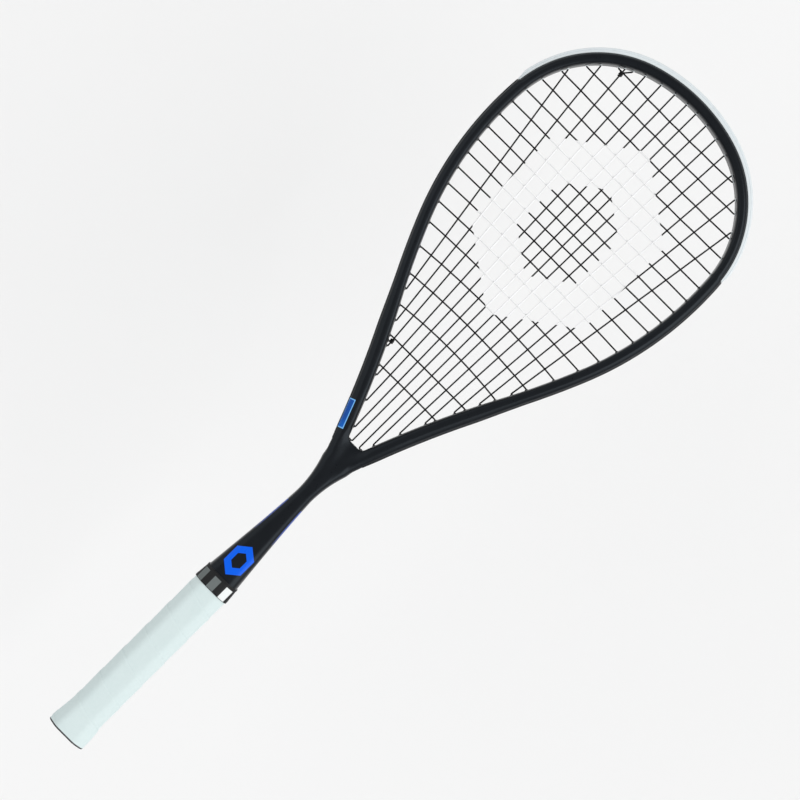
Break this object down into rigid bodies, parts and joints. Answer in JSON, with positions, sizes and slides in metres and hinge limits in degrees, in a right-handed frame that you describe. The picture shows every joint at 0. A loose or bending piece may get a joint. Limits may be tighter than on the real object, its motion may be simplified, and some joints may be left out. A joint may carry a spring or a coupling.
{
  "type": "squash racket",
  "caption": "Squash racket with a teardrop head, one woven string, guard and grommet strips, foam handle and wrapped octagonal grip.",
  "frame": {"origin": "middle of the butt's flat end face, on the long axis of the racket", "axes": "+X from the butt along the handle to the tip of the head, +Z normal to the string bed on the side that the picture shows, +Y across the head to the side with the blue label on its leg"},
  "size_m": [0.6861, 0.2214, 0.0308],
  "materials": {
    "frame_lacquer": "clear gloss lacquer over black carbon laminate",
    "white_guard": "moulded off-white nylon, satin, lightly scuffed",
    "black_nylon": "moulded black nylon",
    "string_black": "black coated nylon multifilament",
    "handle_foam": "moulded rigid polyurethane foam",
    "cap_plastic": "black moulded plastic",
    "staple_steel": "bright staple wire",
    "grip_white": "white polyurethane grip strap, soft matte, wound in a spiral",
    "collar_rubber": "black stretched rubber, satin, with printed pale blocks"
  },
  "bodies": {
    "root": {"frame": "frame_lacquer", "bumper_guard": "white_guard", "grommet_strip_left": "black_nylon", "grommet_strip_right": "black_nylon", "string": "string_black", "handle_front": "handle_foam", "handle_back": "handle_foam", "butt_cap": "cap_plastic", "butt_plug": "cap_plastic", "butt_staples": "staple_steel", "grip": "grip_white", "collar": "collar_rubber"}
  },
  "joints": []
}
